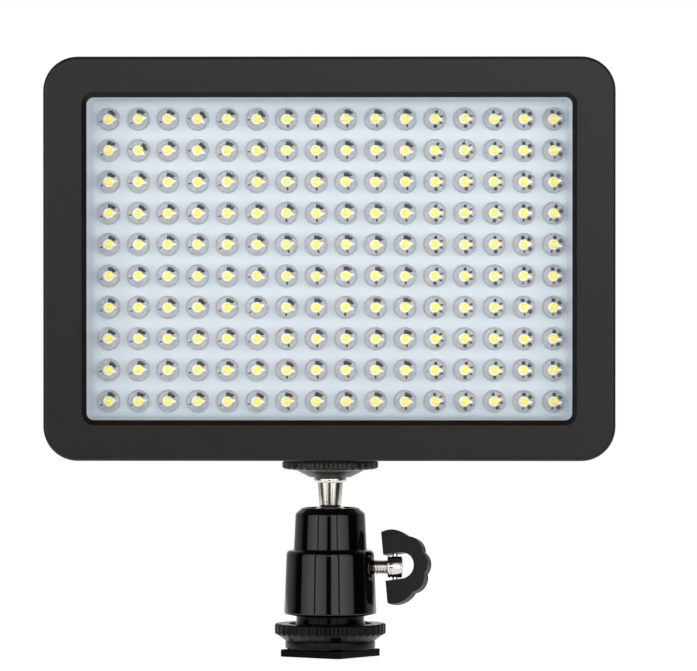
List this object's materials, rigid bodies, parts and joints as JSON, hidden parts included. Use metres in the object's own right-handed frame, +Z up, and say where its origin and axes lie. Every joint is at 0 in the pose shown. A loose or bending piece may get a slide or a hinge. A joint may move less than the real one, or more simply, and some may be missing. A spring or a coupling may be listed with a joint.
{
  "type": "led video light",
  "caption": "Camera light: a flat rectangular panel with a grid of small LEDs in a white well, on a locking ball head with an accessory shoe foot, dimmer and battery plate behind.",
  "frame": {"origin": "centre of the shoe foot's underside, on the ball's axis", "axes": "+Z up along the ball stem, -Y the way the light shines, +X to the right of someone who faces the light, where the lock screw is"},
  "size_m": [0.1432, 0.039, 0.1509],
  "materials": {
    "bezel_plastic": "fine satin texture, dark warm grey",
    "white_plastic": "satin white",
    "led_board": "white board with clear LEDs",
    "circuit_board": "green solder mask",
    "black_plastic": "matte black",
    "zinc": "zinc plated",
    "brass": "turned",
    "chrome": "bright nickel chrome",
    "gloss_black": "gloss black",
    "black_metal": "satin black, knurled where gripped",
    "rubber": "matte",
    "acetal": "natural",
    "copper": "enamelled winding",
    "gold": "gold plated",
    "light_pipe": "clear red"
  },
  "bodies": {
    "base": {"shoe_foot": "black_metal", "shoe_post": "zinc", "base_plug": "gloss_black", "ball_housing": "gloss_black"},
    "ring": {"pressure_ring": "black_metal"},
    "wheel": {"lock_wheel": "black_metal"},
    "plug": {"pressure_plug": "acetal"},
    "lock_screw": {"lock_screw": "chrome", "wing_pin": "chrome"},
    "wing": {"wing": "black_metal"},
    "seat": {"ball_seat": "acetal"},
    "ball": {"ball_stem": "chrome"},
    "disc": {"lock_disc": "black_metal", "friction_pad": "rubber"},
    "light": {"front_bezel": "bezel_plastic", "reflector_frame": "white_plastic", "led_board": "led_board", "rear_housing": "bezel_plastic", "tripod_insert": "brass", "housing_screw_1": "zinc", "housing_screw_2": "zinc", "housing_screw_3": "zinc", "housing_screw_4": "zinc", "led_board_screw_1": "zinc", "led_board_screw_2": "zinc", "led_board_screw_3": "zinc", "led_board_screw_4": "zinc", "driver_screw_1": "zinc", "driver_screw_2": "zinc", "plate_screw_1": "zinc", "plate_screw_2": "zinc", "plate_screw_3": "zinc", "plate_screw_4": "zinc", "driver_board": "circuit_board", "board_connector": "black_plastic", "inductor": "copper", "capacitor_1": "zinc", "capacitor_2": "zinc", "driver_chip": "black_plastic", "dimmer_pot": "zinc", "pot_nut": "zinc", "test_switch": "black_plastic", "gauge_light_1": "light_pipe", "gauge_light_2": "light_pipe", "gauge_light_3": "light_pipe", "gauge_light_4": "light_pipe", "power_jack": "black_plastic", "battery_plate": "black_plastic", "contact_block": "black_plastic", "contact_1": "gold", "contact_2": "gold", "contact_3": "gold", "release_spring": "zinc"},
    "dimmer": {"dimmer_knob": "bezel_plastic", "pot_shaft": "zinc"},
    "test_button": {"test_button": "bezel_plastic"},
    "release": {"battery_release": "bezel_plastic"}
  },
  "joints": [
    {"name": "ring_slide", "type": "slide", "parent": "base", "child": "ring", "axis": [0, 0, 1], "range_m": [0, 0.002]},
    {"name": "lock_wheel_turn", "type": "hinge", "parent": "ring", "child": "wheel", "pos_m": [0, 0, 0.006], "axis": [0, 0, 1], "range_deg": [0, 567]},
    {"name": "plug_slide", "type": "slide", "parent": "base", "child": "plug", "axis": [1, 0, 0], "range_m": [0, 0.0014]},
    {"name": "lock_screw_turn", "type": "hinge", "parent": "plug", "child": "lock_screw", "pos_m": [0.0144, 0, 0.0225], "axis": [1, 0, 0], "range_deg": [0, 721]},
    {"name": "wing_fold", "type": "hinge", "parent": "lock_screw", "child": "wing", "pos_m": [0.01635, 0, 0.0225], "axis": [0, 0.1736, 0.9848], "range_deg": [-73, 107]},
    {"name": "ball_pan", "type": "hinge", "parent": "base", "child": "seat", "pos_m": [0, 0, 0.032], "axis": [0, 0, 1], "continuous": true},
    {"name": "ball_tilt", "type": "hinge", "parent": "seat", "child": "ball", "pos_m": [0, 0, 0.032], "axis": [1, 0, 0], "range_deg": [-28, 28]},
    {"name": "lock_disc_turn", "type": "hinge", "parent": "ball", "child": "disc", "pos_m": [0, 0, 0.0472], "axis": [0, 0, 1], "continuous": true},
    {"name": "light_swivel", "type": "hinge", "parent": "ball", "child": "light", "pos_m": [0, 0, 0.04975], "axis": [0, 0, 1], "continuous": true},
    {"name": "dimmer_turn", "type": "hinge", "parent": "light", "child": "dimmer", "pos_m": [-0.047, 0.013, 0.11635], "axis": [0, -1, 0], "range_deg": [0, 300]},
    {"name": "test_button_press", "type": "slide", "parent": "light", "child": "test_button", "axis": [0, -1, 0], "range_m": [0, 0.0006], "stiffness_N_per_m": 800, "springref_m": -0.0005},
    {"name": "release_press", "type": "slide", "parent": "light", "child": "release", "axis": [0, -1, 0], "range_m": [0, 0.0024], "stiffness_N_per_m": 500, "springref_m": -0.0015, "deforming": ["release_spring"]}
  ],
  "couplings": [
    {"joint": "lock_wheel_turn", "follows": "ring_slide", "rad_per_m": 4947.4},
    {"joint": "lock_screw_turn", "follows": "plug_slide", "rad_per_m": 8976}
  ]
}
